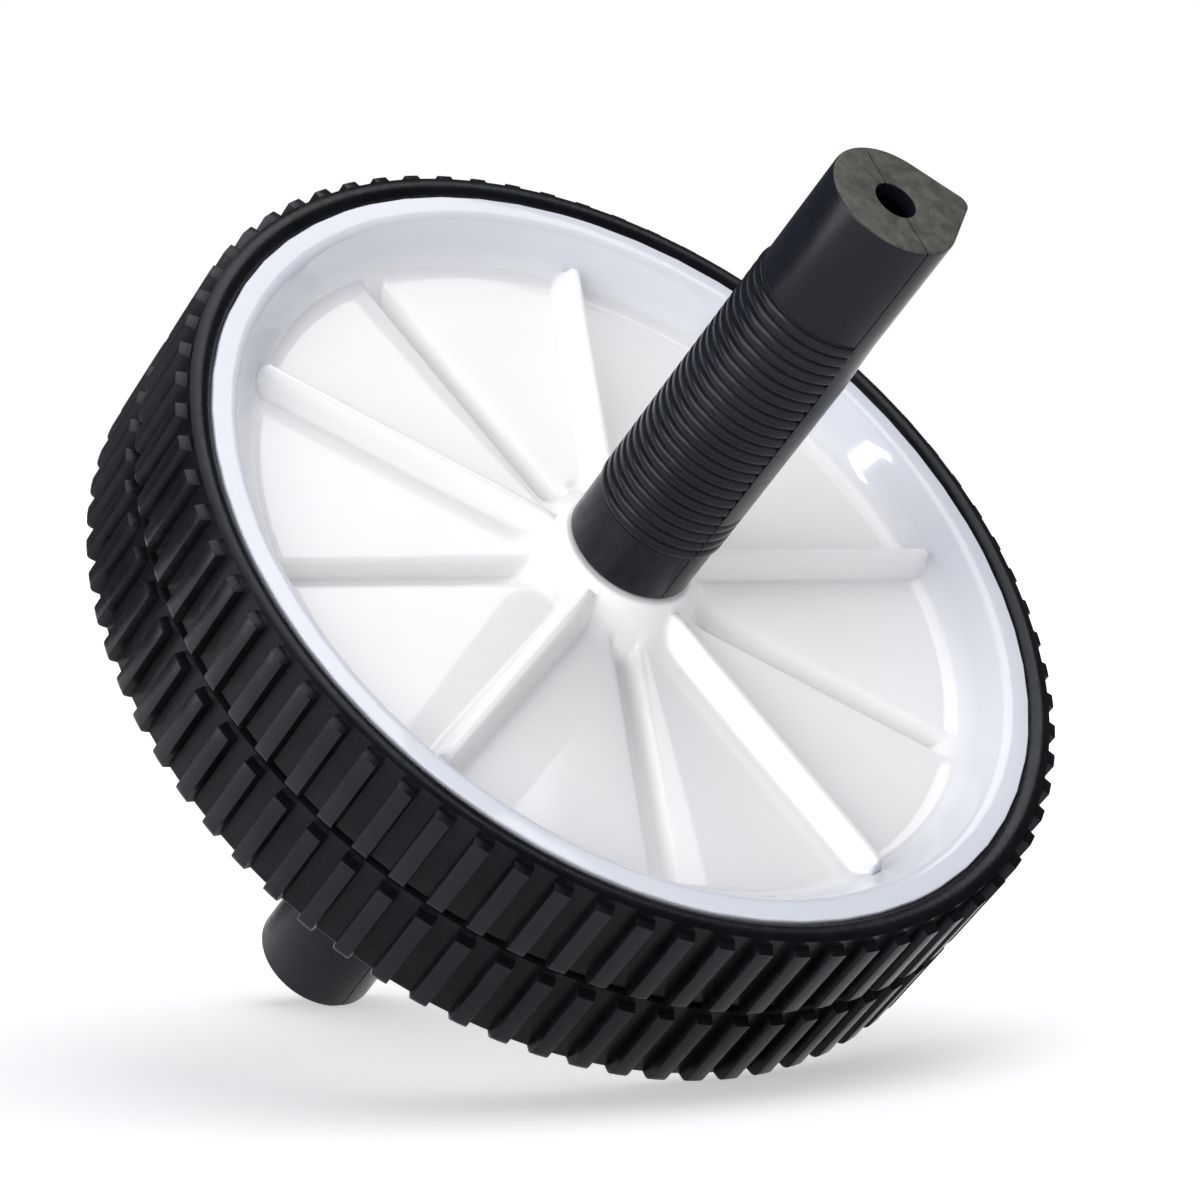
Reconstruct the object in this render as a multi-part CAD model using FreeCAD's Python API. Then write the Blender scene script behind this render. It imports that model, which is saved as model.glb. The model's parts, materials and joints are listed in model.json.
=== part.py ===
import FreeCAD, Part
import math
import os

# Ab wheel roller: two rubber-tyred wheels locked side by side turn on a steel tube, and a two-part grip is
# screwed to each end of the tube. All sizes are in millimetres.
#
# The pieces are modelled along the axle: X runs along the axle towards the near grip, Z is the radius that
# points up when the roller leans, and X = 0 is the plane where the two wheels meet. At the end the whole
# roller is leaned onto its far tyre and its far grip, the way it lies when it is put down.

Vector = FreeCAD.Vector
CENTRE = Vector(0, 0, 0)
AXLE = Vector(1, 0, 0)
ACROSS = Vector(0, 1, 0)
UP = Vector(0, 0, 1)
quarter_turn_angle = 90
half_turn_angle = 180
full_turn_angle = 360
diagonal_share = math.sqrt(0.5)

# Tyres
tread_radius = 92.0
tyre_width = 20.5
tyre_gap = 0.8
tyre_wall = 4.5
sidewall_bulge = 1.4
sidewall_crown_share = 0.55
shoulder_setback = 0.5
lug_count = 72
lug_phase_angle = 3.65
lug_height = 2.2
lug_width = 3.2
lug_setback = 2.0
lug_draft = 0.3
lug_toe_radius = 1.8
lug_root = 0.4

# Wheel mouldings
rim_recess = 0.6
rim_wall = 3.0
rim_edge = 0.4
flange_width = 4.7
flange_lip_radius = 1.2
dish_depth = 8.7
dish_wall_run = 6.9
dish_fillet = 3.0
web_thickness = 3.0
hub_radius = 15.6
hub_drop = 2.2
hub_draft = 0.5
hub_edge = 2.5
hub_fillet = 3.2
hub_sleeve_wall = 6.5
rib_count = 5
rib_phase_angle = 52.5
rib_drop = 3.4
rib_tip_thickness = 1.6
rib_edge = 0.7
rib_draft = 1.8
rib_foot_radius = 2.5
rib_sink = 0.1
rib_end_setback = 2.6
rib_end_share = 0.45
groove_width = 6.2
groove_depth = 4.0
groove_draft = 0.7
groove_round = 1.8
peg_pair_count = 2
peg_angle = 45.0
socket_angle = 135.0
peg_radius = 1.9
peg_length = 4.0
peg_clearance = 0.05

# Axle, bushes and thrust washers
axle_radius = 6.0
axle_wall = 1.5
bush_wall = 2.0
bush_length = 13.0
bush_flange_width = 3.0
bush_flange_thickness = 1.5
washer_width = 4.2
washer_thickness = 0.8
running_clearance = 0.05
seat_clearance = 0.02
end_play = 0.1
hub_gap = 0.5

# Grips
grip_length = 94.4
end_collar_radius = 12.5
base_collar_rise = 0.1
base_collar_length = 11.8
ring_count = 24
ring_pitch = 2.42
ring_rise = 0.5
ring_groove_depth = 0.7
ring_groove_width = 0.9
plain_ring_count = 4
ridge_corner_radius = 2.0
ridge_full_length = 35.0
ridge_taper_length = 11.0
grip_edge = 0.6
grip_wall = 2.3
grip_base_wall = 2.5
grip_end_wall = 3.0
end_hole_radius = 4.0
seam_width = 0.3
seam_depth = 0.5
saddle_length = 8.0
saddle_rib = 2.0
saddle_places_share = [0.27, 0.69]
rib_places_share = [0.48, 0.87]
dowel_radius = 1.1
dowel_length = 2.5
dowel_clearance = 0.1

# Grip screws
screw_radius = 1.7
screw_hole_clearance = 0.15
screw_head_radius = 3.2
screw_head_height = 2.2
screw_head_chamfer = 0.8
screw_head_clearance = 0.4
screw_sink = 2.4
screw_point_cover = 1.6

# One overrun carries every cutter past the face that it opens
overrun = 1.0

# Places along the axle, and radii, that follow from the sizes above
tread_base_radius = tread_radius - lug_height
rim_seat_radius = tread_base_radius - tyre_wall
tyre_inner_x = tyre_gap / 2
tyre_outer_x = tyre_inner_x + tyre_width
flange_x = tyre_outer_x - rim_recess
flange_inner_radius = rim_seat_radius - flange_width
floor_x = flange_x - dish_depth
floor_radius = flange_inner_radius - dish_wall_run
dish_slope_share = dish_wall_run / dish_depth
in_wall = web_thickness / 2
groove_lean_share = groove_draft / groove_depth
hub_top_x = flange_x - hub_drop
rib_top_x = flange_x - rib_drop
grip_base_x = hub_top_x + hub_gap
grip_end_x = grip_base_x + grip_length
grip_wall_x = grip_end_x - grip_end_wall
rings_x = grip_base_x + base_collar_length
ridge_x = rings_x + plain_ring_count * ring_pitch
washer_x = grip_base_x - end_play - washer_thickness
bush_face_x = washer_x - end_play
bush_seat_x = bush_face_x - bush_flange_thickness
bush_bore_radius = axle_radius + running_clearance
bush_radius = bush_bore_radius + bush_wall
bush_flange_radius = bush_radius + bush_flange_width
sleeve_radius = bush_radius + hub_sleeve_wall
peg_circle_radius = bush_radius + hub_sleeve_wall / 2
base_collar_radius = end_collar_radius + base_collar_rise
ring_crest_radius = end_collar_radius + ring_rise
ring_groove_radius = ring_crest_radius - ring_groove_depth
cavity_radius = end_collar_radius - grip_wall
dowel_offset = (axle_radius + end_collar_radius) / 2
ridge_top = end_collar_radius / diagonal_share - ridge_corner_radius / diagonal_share + ridge_corner_radius
screw_seat_y = ridge_top - screw_sink - screw_head_height
screw_point_y = screw_point_cover - end_collar_radius


def at(x, radius):
    """Point in the plane of the axle and the upward radius."""
    return Vector(x, 0, radius)


def line(start, end):
    return Part.LineSegment(start, end).toShape()


def arc(start, middle, end):
    return Part.Arc(start, middle, end).toShape()


def rod(radius, start, direction, length):
    return Part.makeCylinder(radius, length, start, direction)


def rounded_wire(corners):
    """Closed wire through (x, radius, rounding) corners, where each rounding is a tangent arc."""
    joints = []
    for number, (x, radius, rounding) in enumerate(corners):
        corner = at(x, radius)
        if rounding == 0:
            joints.append((corner, corner, corner))
            continue
        before = at(*corners[number - 1][:2]) - corner
        after = at(*corners[(number + 1) % len(corners)][:2]) - corner
        before.normalize()
        after.normalize()
        bisector = before + after
        bisector.normalize()
        half_angle = before.getAngle(after) / 2
        reach = rounding / math.tan(half_angle)
        middle = corner + bisector * (rounding / math.sin(half_angle) - rounding)
        joints.append((corner + before * reach, middle, corner + after * reach))
    edges = []
    for number, (start, middle, end) in enumerate(joints):
        if start != end:
            edges.append(arc(start, middle, end))
        edges.append(line(end, joints[(number + 1) % len(joints)][0]))
    return Part.Wire(edges)


def revolved(corners, turn_angle=full_turn_angle, axis=AXLE):
    """Solid of revolution about the axle from (x, radius, rounding) corners."""
    return Part.Face(rounded_wire(corners)).revolve(CENTRE, axis, turn_angle)


def turned(shape, angle, axis=AXLE):
    """Copy of a shape turned about an axis through the wheels' centre."""
    return shape.rotated(CENTRE, axis, angle)


def around(shape, count, first_angle):
    """Copies of a shape spaced evenly round the axle."""
    return [turned(shape, first_angle + full_turn_angle * number / count) for number in range(count)]


def far_copy(shape):
    """The same piece at the far end, turned end for end about the cross axis."""
    return turned(shape, half_turn_angle, ACROSS)


def tyre_lug():
    """One tread lug on the upward radius: drafted, set back outside and rounded at the inner edge."""
    half_width = lug_width / 2
    outer_x = tyre_outer_x - lug_setback
    wedge = Part.makeWedge(
        tyre_inner_x, tread_base_radius - lug_root, -half_width - lug_draft, -half_width, tyre_inner_x,
        outer_x + lug_draft, tread_radius, half_width + lug_draft, half_width, outer_x,
    )
    toe = min(wedge.Edges, key=lambda edge: edge.CenterOfMass.x - edge.CenterOfMass.y)
    return turned(wedge.makeFillet(lug_toe_radius, [toe]), quarter_turn_angle)


def tyre():
    """Rubber ring with a rounded outer sidewall and a row of lugs."""
    seat_radius = rim_seat_radius + seat_clearance
    crown_radius = seat_radius + (tread_base_radius - seat_radius) * sidewall_crown_share
    heel = at(tyre_outer_x - sidewall_bulge, seat_radius)
    shoulder = at(tyre_outer_x - shoulder_setback, tread_base_radius)
    inner_heel = at(tyre_inner_x, seat_radius)
    inner_edge = at(tyre_inner_x, tread_base_radius)
    section = Part.Wire([
        line(heel, inner_heel),
        line(inner_heel, inner_edge),
        line(inner_edge, shoulder),
        arc(shoulder, at(tyre_outer_x, crown_radius), heel),
    ])
    ring = Part.Face(section).revolve(CENTRE, AXLE, full_turn_angle)
    return ring.multiFuse(around(tyre_lug(), lug_count, lug_phase_angle)).removeSplitter()


def wheel_disc():
    """Turned form of the wheel: hub, recessed floor, sloping wall, flange, rim and the hollow behind them."""
    flange_seat_radius = bush_flange_radius + seat_clearance
    rim_back_radius = rim_seat_radius - rim_wall
    web_back_x = floor_x - web_thickness
    wall_shift = web_thickness * math.hypot(1, dish_slope_share)
    wall_back_radius = floor_radius + wall_shift - web_thickness * dish_slope_share
    rim_back_x = floor_x + (rim_back_radius - floor_radius - wall_shift) / dish_slope_share
    return revolved([
        (0, bush_radius + seat_clearance, 0),
        (bush_seat_x, bush_radius + seat_clearance, 0),
        (bush_seat_x, flange_seat_radius, 0),
        (hub_top_x, flange_seat_radius, 0),
        (hub_top_x, hub_radius, hub_edge),
        (floor_x, hub_radius + hub_draft, hub_fillet),
        (floor_x, floor_radius, dish_fillet),
        (flange_x, flange_inner_radius, flange_lip_radius),
        (flange_x, rim_seat_radius - rim_edge, 0),
        (flange_x - rim_edge, rim_seat_radius, 0),
        (tyre_inner_x, rim_seat_radius, 0),
        (tyre_inner_x, rim_back_radius, 0),
        (rim_back_x, rim_back_radius, 0),
        (web_back_x, wall_back_radius, 0),
        (web_back_x, sleeve_radius, 0),
        (0, sleeve_radius, 0),
    ])


def dish_wall_radius(x):
    """Radius of the dish's sloping wall, carried on below the floor."""
    return floor_radius + (x - floor_x) * dish_slope_share


def radial_bar(corners):
    """Straight bar along the upward radius, from (x, across, rounding) corners of one side of its section."""
    section = corners + [(x, -across, rounding) for x, across, rounding in reversed(corners)]
    face = turned(Part.Face(rounded_wire(section)), quarter_turn_angle).translated(UP * bush_flange_radius)
    return face.extrude(UP * (rim_seat_radius - bush_flange_radius))


def wheel_rib():
    """One radial rib: it flows into the floor, grows out of the hub and runs into the dish wall."""
    tip = rib_tip_thickness / 2
    foot = tip + rib_draft
    root_x = floor_x - in_wall
    bar = radial_bar([
        (rib_top_x, tip, rib_edge),
        (floor_x - rib_sink, foot, rib_foot_radius),
        (floor_x - rib_sink, foot + rib_foot_radius, 0),
        (root_x - overrun, foot + rib_foot_radius, 0),
    ])
    start_radius = bush_flange_radius + in_wall
    leave_x = floor_x + (rib_top_x - floor_x) * rib_end_share
    reach = revolved([
        (root_x, start_radius, 0),
        (rib_top_x + overrun, start_radius, 0),
        (rib_top_x + overrun, dish_wall_radius(rib_top_x) - rib_end_setback, 0),
        (rib_top_x, dish_wall_radius(rib_top_x) - rib_end_setback, 0),
        (leave_x, dish_wall_radius(leave_x) + in_wall, 0),
        (root_x, floor_radius + in_wall, 0),
    ])
    return bar.common(reach)


def groove_bar(wall):
    """Bar with the round-bottomed section of a groove, grown all round by a wall."""
    mouth = groove_width / 2 + wall
    return radial_bar([
        (floor_x - groove_depth - wall, mouth - groove_draft, groove_round + wall),
        (floor_x + overrun, mouth + overrun * groove_lean_share, 0),
    ])


def wheel_groove():
    """What one radial groove takes out of the floor, from the foot of the hub to that of the dish wall."""
    start_radius = hub_radius + hub_draft
    low_x = floor_x - groove_depth - overrun
    high_x = floor_x + overrun
    reach = revolved([
        (low_x, start_radius, 0),
        (high_x, start_radius, 0),
        (high_x, dish_wall_radius(high_x), 0),
        (low_x, dish_wall_radius(low_x), 0),
    ])
    return groove_bar(0).common(reach)


def groove_backing():
    """The ridge behind the floor that carries one groove."""
    low_x = floor_x - groove_depth - web_thickness - overrun
    reach = revolved([
        (low_x, sleeve_radius - in_wall, 0),
        (floor_x - in_wall, sleeve_radius - in_wall, 0),
        (floor_x - in_wall, floor_radius + in_wall, 0),
        (low_x, floor_radius + in_wall, 0),
    ])
    return groove_bar(web_thickness).common(reach)


def wheel():
    """Near wheel: the dish with ribs and grooves by turns, and pegs and sockets that lock it to its twin."""
    peg = rod(peg_radius, at(peg_length, peg_circle_radius), -AXLE, 2 * peg_length)
    socket_depth = peg_length + peg_clearance
    socket = rod(peg_radius + peg_clearance, at(-overrun, peg_circle_radius), AXLE, socket_depth + overrun)
    groove_phase_angle = rib_phase_angle + half_turn_angle / rib_count
    added = around(wheel_rib(), rib_count, rib_phase_angle)
    added += around(groove_backing(), rib_count, groove_phase_angle)
    added += around(peg, peg_pair_count, peg_angle)
    taken = around(wheel_groove(), rib_count, groove_phase_angle)
    taken += around(socket, peg_pair_count, socket_angle)
    return wheel_disc().multiFuse(added).cut(taken).removeSplitter()


def bush():
    """Flanged sleeve, pressed into the hub, that turns on the axle tube."""
    return revolved([
        (bush_face_x - bush_length, bush_bore_radius, 0),
        (bush_face_x, bush_bore_radius, 0),
        (bush_face_x, bush_flange_radius, 0),
        (bush_seat_x, bush_flange_radius, 0),
        (bush_seat_x, bush_radius, 0),
        (bush_face_x - bush_length, bush_radius, 0),
    ])


def washer():
    """Thrust washer between a bush and the base of a grip."""
    return revolved([
        (washer_x, bush_bore_radius, 0),
        (washer_x + washer_thickness, bush_bore_radius, 0),
        (washer_x + washer_thickness, bush_bore_radius + washer_width, 0),
        (washer_x, bush_bore_radius + washer_width, 0),
    ])


def grip_x(share):
    """Place along the near grip, as a share of its length from its base."""
    return grip_base_x + grip_length * share


def axle_tube():
    """Steel tube from grip end to grip end, cross-drilled for the grip screws."""
    half_length = grip_wall_x - seat_clearance
    tube = rod(axle_radius, at(-half_length, 0), AXLE, 2 * half_length)
    holes = [rod(axle_radius - axle_wall, at(-half_length - overrun, 0), AXLE, 2 * (half_length + overrun))]
    for share in saddle_places_share:
        start = Vector(grip_x(share), -axle_radius - overrun, 0)
        hole = rod(screw_radius + screw_hole_clearance, start, ACROSS, 2 * (axle_radius + overrun))
        holes += [hole, far_copy(hole)]
    return tube.cut(holes)


def ring_corners(count):
    """Collar and first finger rings of a grip, in outline: flat crests between V grooves."""
    corners = [
        (grip_base_x, 0, 0),
        (grip_base_x, base_collar_radius, 0),
        (rings_x, base_collar_radius, 0),
    ]
    for number in range(count):
        start_x = rings_x + number * ring_pitch
        corners += [
            (start_x, ring_groove_radius, 0),
            (start_x + ring_groove_width / 2, ring_crest_radius, 0),
            (start_x + ring_pitch - ring_groove_width / 2, ring_crest_radius, 0),
        ]
    return corners + [(rings_x + count * ring_pitch, ring_groove_radius, 0)]


def ridge_section(x, radius):
    """Half section of the back grip: round beside the seam, then two flats that meet in a rounded ridge."""
    peak = radius / diagonal_share
    near = radius * diagonal_share
    corner = ridge_corner_radius * diagonal_share
    tip = peak - ridge_corner_radius / diagonal_share + ridge_corner_radius
    eighth = math.radians(quarter_turn_angle) / 4
    side_y = radius * math.sin(eighth)
    side_z = radius * math.cos(eighth)

    def spot(y, z):
        return Vector(x, y, z)

    return Part.Wire([
        arc(spot(0, radius), spot(side_y, side_z), spot(near, near)),
        line(spot(near, near), spot(peak - corner, corner)),
        arc(spot(peak - corner, corner), spot(tip, 0), spot(peak - corner, -corner)),
        line(spot(peak - corner, -corner), spot(near, -near)),
        arc(spot(near, -near), spot(side_y, -side_z), spot(0, -radius)),
        line(spot(0, -radius), spot(0, radius)),
    ])


def grip_hollow():
    """What both halves of a grip lack inside: bays between the walls, the axle seat and the end hole."""
    stops = [(grip_x(share), saddle_length) for share in saddle_places_share]
    stops += [(grip_x(share), saddle_rib) for share in rib_places_share]
    stops.sort()
    starts = [grip_base_x + grip_base_wall] + [x + length / 2 for x, length in stops]
    ends = [x - length / 2 for x, length in stops] + [grip_wall_x]
    cutters = [rod(cavity_radius, at(start, 0), AXLE, end - start) for start, end in zip(starts, ends)]
    seat_start = grip_base_x - overrun
    cutters.append(rod(axle_radius + seat_clearance, at(seat_start, 0), AXLE, grip_wall_x - seat_start))
    cutters.append(rod(end_hole_radius, at(grip_wall_x - overrun, 0), AXLE, grip_end_wall + 2 * overrun))
    return cutters


def seam_groove(side):
    """Narrow step along the seam of one half, on both sides of the grip and across its end face."""
    width = seam_width / 2
    start_y = min(0, side * width)
    inner_z = ring_groove_radius - seam_depth
    outer_z = ring_crest_radius + overrun
    length = grip_length + 2 * overrun
    boxes = []
    for low_z in (inner_z, -outer_z):
        corner = Vector(grip_base_x - overrun, start_y, low_z)
        boxes.append(Part.makeBox(length, width, outer_z - inner_z, corner))
    end_corner = Vector(grip_end_x - seam_depth, start_y, -outer_z)
    boxes.append(Part.makeBox(seam_depth + overrun, width, 2 * outer_z, end_corner))
    return boxes


def dowel_places():
    """Places in the seam plane of the dowels that line the halves up, one beside each saddle's seat."""
    return [(grip_x(share), side * dowel_offset) for share, side in zip(saddle_places_share, (1, -1))]


def grip_front():
    """Front half of the near grip: ringed, with blind screw holes and dowels."""
    half = revolved(ring_corners(ring_count) + [
        (rings_x + ring_count * ring_pitch, end_collar_radius, 0),
        (grip_end_x - grip_edge, end_collar_radius, 0),
        (grip_end_x, end_collar_radius - grip_edge, 0),
        (grip_end_x, 0, 0),
    ], half_turn_angle)
    cutters = grip_hollow() + seam_groove(-1)
    for share in saddle_places_share:
        start = Vector(grip_x(share), screw_point_y - seat_clearance, 0)
        cutters.append(rod(screw_radius + seat_clearance, start, ACROSS, end_collar_radius))
    half = half.cut(cutters)
    dowels = []
    for x, z in dowel_places():
        dowels.append(rod(dowel_radius, Vector(x, -dowel_length, z), ACROSS, 2 * dowel_length))
    return half.multiFuse(dowels).removeSplitter()


def grip_back():
    """Back half of the near grip: a few rings, then a smooth ridge with sunk screw heads."""
    rings = revolved(ring_corners(plain_ring_count) + [(ridge_x, 0, 0)], half_turn_angle, -AXLE)
    taper_x = ridge_x + ridge_full_length
    ridge = Part.makeLoft([
        ridge_section(ridge_x, ring_crest_radius),
        ridge_section(taper_x, ring_crest_radius),
        ridge_section(taper_x + ridge_taper_length, end_collar_radius),
        ridge_section(grip_end_x - grip_edge, end_collar_radius),
        ridge_section(grip_end_x, end_collar_radius - grip_edge),
    ], True, True)
    cutters = grip_hollow() + seam_groove(1)
    for share in saddle_places_share:
        seat = Vector(grip_x(share), screw_seat_y, 0)
        middle = Vector(seat.x, 0, 0)
        head_depth = screw_sink + screw_head_height
        cutters.append(rod(screw_radius + screw_hole_clearance, middle, ACROSS, screw_seat_y + overrun))
        cutters.append(rod(screw_head_radius + screw_head_clearance, seat, ACROSS, head_depth + overrun))
    for x, z in dowel_places():
        depth = dowel_length + dowel_clearance
        cutters.append(rod(dowel_radius + dowel_clearance, Vector(x, -overrun, z), ACROSS, depth + overrun))
    return rings.fuse(ridge).cut(cutters).removeSplitter()


def grip_screw(x):
    """One grip screw: a chamfered head on a pointed shank that passes through the axle tube."""
    head_top_y = screw_seat_y + screw_head_height
    outline = [
        (0, screw_point_y),
        (screw_radius, screw_point_y + screw_radius),
        (screw_radius, screw_seat_y),
        (screw_head_radius, screw_seat_y),
        (screw_head_radius, head_top_y - screw_head_chamfer),
        (screw_head_radius - screw_head_chamfer, head_top_y),
        (0, head_top_y),
    ]
    points = [Vector(radius, y, 0) for radius, y in outline]
    screw = Part.Face(Part.makePolygon(points + points[:1])).revolve(CENTRE, ACROSS, full_turn_angle)
    return screw.translated(AXLE * x)


def lean_placement():
    """Rest pose: leaning on the rounded lug ends of the far tyre and on the edge of the far grip's end."""
    toe_x = tyre_outer_x - lug_toe_radius
    toe_radius = tread_radius - lug_toe_radius
    run = grip_end_x - grip_edge - toe_x
    rise = toe_radius - end_collar_radius
    lean = math.atan2(rise, run) + math.asin(lug_toe_radius / math.hypot(rise, run))
    height = toe_x * math.sin(lean) + toe_radius * math.cos(lean) + lug_toe_radius
    print("lean angle", round(math.degrees(lean), 4), "wheel centre height", round(height, 4))
    return FreeCAD.Placement(UP * height, FreeCAD.Rotation(ACROSS, -math.degrees(lean)))


def make_nodes():
    """Every node of the roller along its axle, by name."""
    near_tyre = tyre()
    near = {
        "wheel": wheel(),
        "bush": bush(),
        "washer": washer(),
        "handle_front": grip_front(),
        "handle_back": grip_back(),
        "handle_screws": Part.makeCompound([grip_screw(grip_x(share)) for share in saddle_places_share]),
    }
    nodes = {
        "axle_tube": axle_tube(),
        "near_tyre": near_tyre,
        "far_tyre": near_tyre.translated(-AXLE * (tyre_width + tyre_gap)),
    }
    for name, shape in near.items():
        nodes["near_" + name] = shape
        nodes["far_" + name] = far_copy(shape)
    return nodes


os.makedirs("parts", exist_ok=True)
lean_matrix = lean_placement().toMatrix()
for node_name, node_shape in make_nodes().items():
    placed = node_shape.transformed(lean_matrix, True)
    placed.exportStep("parts/" + node_name + ".step")
    print(node_name, len(placed.Solids), "solids, valid", placed.isValid(), round(placed.Volume), "mm3")
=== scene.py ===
# %% [markdown]
# An ab wheel roller lies on a pale table, tipped over onto one tyre and the end of one grip. Two white plastic
# wheels with rubber tyres sit side by side on a steel tube, and a ringed two-part grip is screwed to each end.
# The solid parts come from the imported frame. This lesson gives them their finishes and models again the pieces
# whose small rounded edges catch the light: the tyres, the wheels, the grips and their screws.

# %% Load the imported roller
import json
import math

import bmesh
import bpy
from mathutils import Matrix, Vector


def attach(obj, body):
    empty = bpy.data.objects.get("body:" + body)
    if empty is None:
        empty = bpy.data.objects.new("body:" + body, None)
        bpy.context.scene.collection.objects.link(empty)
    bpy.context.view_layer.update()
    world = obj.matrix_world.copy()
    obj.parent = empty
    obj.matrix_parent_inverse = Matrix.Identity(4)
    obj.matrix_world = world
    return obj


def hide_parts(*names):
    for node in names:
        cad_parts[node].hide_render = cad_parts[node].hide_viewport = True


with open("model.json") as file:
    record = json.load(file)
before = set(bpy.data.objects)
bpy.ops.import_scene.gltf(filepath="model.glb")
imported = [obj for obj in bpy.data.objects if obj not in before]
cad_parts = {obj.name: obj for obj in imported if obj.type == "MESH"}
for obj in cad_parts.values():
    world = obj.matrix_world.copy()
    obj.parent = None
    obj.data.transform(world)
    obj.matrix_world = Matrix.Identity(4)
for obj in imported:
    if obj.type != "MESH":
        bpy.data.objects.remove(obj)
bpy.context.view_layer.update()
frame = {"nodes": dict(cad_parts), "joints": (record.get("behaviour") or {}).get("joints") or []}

print("nodes:", ", ".join(sorted(frame["nodes"])))

# %% [markdown]
# Everything on the roller is turned about one axle, and the axle leans. It is far easier to model along the
# axle and lean the finished mesh. The wheel's joint gives a point on the axle and its direction, and from them
# comes one matrix: millimetres along the axle go in, metres in the frame come out. In those axle coordinates
# X runs towards the near grip, Y is across, and Z is the radius that points up.

# %% The axle's own coordinates
MILLIMETRE = 0.001
spin = frame["joints"][0]
wheel_centre = Vector(spin["pos_m"])
axle_direction = Vector(spin["axis"]).normalized()
across_direction = Vector((0, 1, 0))
up_direction = axle_direction.cross(across_direction)
axle_turn = Matrix((axle_direction, across_direction, up_direction)).transposed()
from_axle = Matrix.Translation(wheel_centre) @ axle_turn.to_4x4() @ Matrix.Scale(MILLIMETRE, 4)
to_axle = from_axle.inverted()
AXLE = Vector((1, 0, 0))
CENTRE = Vector((0, 0, 0))
print("the axle leans", round(math.degrees(math.asin(axle_direction.z)), 2), "degrees")

# %% [markdown]
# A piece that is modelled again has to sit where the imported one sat, so its main sizes are measured and not typed.
# A node's vertices are carried into axle coordinates. The least and greatest X and radius then say where the
# piece starts, where it ends and how big it is round the axle.

# %% Measure a node along the axle
def axle_span(node):
    """Lowest and highest place along the axle, and least and greatest radius, of a node, in millimetres."""
    points = [to_axle @ vertex.co for vertex in frame["nodes"][node].data.vertices]
    places = [point.x for point in points]
    radii = [math.hypot(point.y, point.z) for point in points]
    return min(places), max(places), min(radii), max(radii)


for node in ("near_tyre", "near_wheel", "near_handle_front", "near_handle_back"):
    print(node, [round(size, 2) for size in axle_span(node)])

# %% [markdown]
# No moulded surface is perfectly even, so each finish here is a Principled shader with noise on its colour, its
# gloss and its relief. The noise reads Object coordinates: they stay with a piece when it turns, and they are in
# metres, so a blotch can be given its real size. A picture could be wrapped round the piece instead, but noise
# has no seams and needs no unwrapping.

# %% Start a material
def new_material(name):
    """A material with its node tree, shader, and a noise-ready coordinate output."""
    material = bpy.data.materials.new(name)
    material.use_nodes = True
    tree = material.node_tree
    shader = tree.nodes["Principled BSDF"]
    place = tree.nodes.new("ShaderNodeTexCoord").outputs["Object"]
    return material, tree, shader, place


def noise(tree, place, size, detail=2.0, roughness=0.5):
    """Noise whose blotches are about size metres across."""
    node = tree.nodes.new("ShaderNodeTexNoise")
    node.inputs["Scale"].default_value = 1 / size
    node.inputs["Detail"].default_value = detail
    node.inputs["Roughness"].default_value = roughness
    tree.links.new(place, node.inputs["Vector"])
    return node.outputs["Fac"]


def ramp(tree, factor, low, high, stops=(0.35, 0.65)):
    """Colour that goes from low to high as the factor goes between the stops."""
    node = tree.nodes.new("ShaderNodeValToRGB")
    for element, stop, colour in zip(node.color_ramp.elements, stops, (low, high)):
        element.position = stop
        element.color = (*colour, 1)
    tree.links.new(factor, node.inputs["Fac"])
    return node.outputs["Color"]

# %% [markdown]
# Gloss needs a number and not a colour, and a Map Range node makes one from any factor. Relief too fine to model
# is left to a Bump node, which tilts the shading by a height in metres. A second bump takes the first one's
# normal, so that coarse and fine relief add up.

# %% Gloss and relief
def spread(tree, factor, low, high, span=(0.3, 0.7)):
    """Number that goes from low to high as a factor goes over a span, by default that of a noise."""
    node = tree.nodes.new("ShaderNodeMapRange")
    node.inputs["From Min"].default_value = span[0]
    node.inputs["From Max"].default_value = span[1]
    node.inputs["To Min"].default_value = low
    node.inputs["To Max"].default_value = high
    tree.links.new(factor, node.inputs["Value"])
    return node.outputs["Result"]


def bump(tree, shader, height, depth, under=None):
    """Bump of that depth in metres on a shader, over another bump if one is given."""
    node = tree.nodes.new("ShaderNodeBump")
    node.inputs["Distance"].default_value = depth
    tree.links.new(height, node.inputs["Height"])
    if under:
        tree.links.new(under, node.inputs["Normal"])
    tree.links.new(node.outputs["Normal"], shader.inputs["Normal"])
    return node.outputs["Normal"]

# %% [markdown]
# Some finishes change with the distance from the axle or along it. A Mapping node of the Texture kind turns Object
# coordinates into axle millimetres, the same as the meshes are modelled in. With the part along the axle dropped,
# the length of what is left is the radius. Painting the places by hand would work too, but this follows the sizes.

# %% Measure inside a material
def axle_place(tree, place):
    """Object coordinates turned into millimetres along the axle."""
    mapping = tree.nodes.new("ShaderNodeMapping")
    mapping.vector_type = "TEXTURE"
    mapping.inputs["Location"].default_value = wheel_centre
    mapping.inputs["Rotation"].default_value = axle_turn.to_euler()
    mapping.inputs["Scale"].default_value = [MILLIMETRE] * 3
    tree.links.new(place, mapping.inputs["Vector"])
    return mapping.outputs["Vector"]


def axle_radius(tree, place):
    """Distance from the axle, in millimetres."""
    flatten = tree.nodes.new("ShaderNodeVectorMath")
    flatten.operation = "MULTIPLY"
    flatten.inputs[1].default_value = (0, 1, 1)
    tree.links.new(axle_place(tree, place), flatten.inputs[0])
    length = tree.nodes.new("ShaderNodeVectorMath")
    length.operation = "LENGTH"
    tree.links.new(flatten.outputs["Vector"], length.inputs[0])
    return length.outputs["Value"]


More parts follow.
